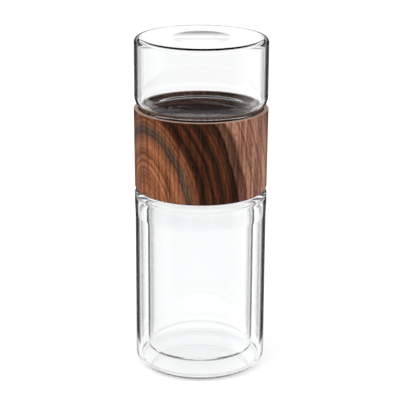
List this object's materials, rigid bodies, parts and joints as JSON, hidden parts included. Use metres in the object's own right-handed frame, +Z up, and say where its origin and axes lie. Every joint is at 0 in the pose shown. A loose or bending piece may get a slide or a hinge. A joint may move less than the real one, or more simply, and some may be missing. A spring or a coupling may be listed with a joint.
{
  "type": "double-walled tea cup",
  "caption": "Tea tumbler: a double-walled glass below, a wooden screw collar that holds a strainer, and an upturned glass tea chamber screwed into its top.",
  "frame": {"origin": "middle of the foot, on the surface that the cup stands on", "axes": "+Z up along the common axis of both glasses and the collar; X and Y are free, because the solids are turned about Z"},
  "size_m": [0.0708, 0.0708, 0.18],
  "materials": {
    "glass": "clear borosilicate glass, polished",
    "silicone": "dark brown silicone, satin",
    "core_plastic": "dark brown moulded plastic, glossy",
    "wood": "figured reddish brown wood under clear satin lacquer",
    "steel": "pressed stainless steel, bright"
  },
  "bodies": {
    "vessel": {"outer_glass": "glass", "inner_glass": "glass"},
    "vessel_seal": {"vessel_gasket": "silicone"},
    "collar": {"thread_core": "core_plastic", "wood_sleeve": "wood", "strainer_rim": "steel", "strainer_disc": "steel"},
    "chamber_seal": {"chamber_gasket": "silicone"},
    "chamber": {"tea_chamber": "glass"}
  },
  "joints": [
    {"name": "collar_rise", "type": "slide", "parent": "vessel", "child": "vessel_seal", "axis": [0, 0, 1], "range_m": [0, 0.0135]},
    {"name": "collar_turn", "type": "hinge", "parent": "vessel_seal", "child": "collar", "pos_m": [0, 0, 0.1126], "axis": [0, 0, 1], "range_deg": [0, 540]},
    {"name": "chamber_rise", "type": "slide", "parent": "collar", "child": "chamber_seal", "axis": [0, 0, 1], "range_m": [0, 0.009]},
    {"name": "chamber_turn", "type": "hinge", "parent": "chamber_seal", "child": "chamber", "pos_m": [0, 0, 0.134], "axis": [0, 0, 1], "range_deg": [0, 360]}
  ],
  "couplings": [
    {"joint": "collar_rise", "follows": "collar_turn", "m_per_rad": 0.0014324},
    {"joint": "chamber_rise", "follows": "chamber_turn", "m_per_rad": 0.0014324}
  ]
}
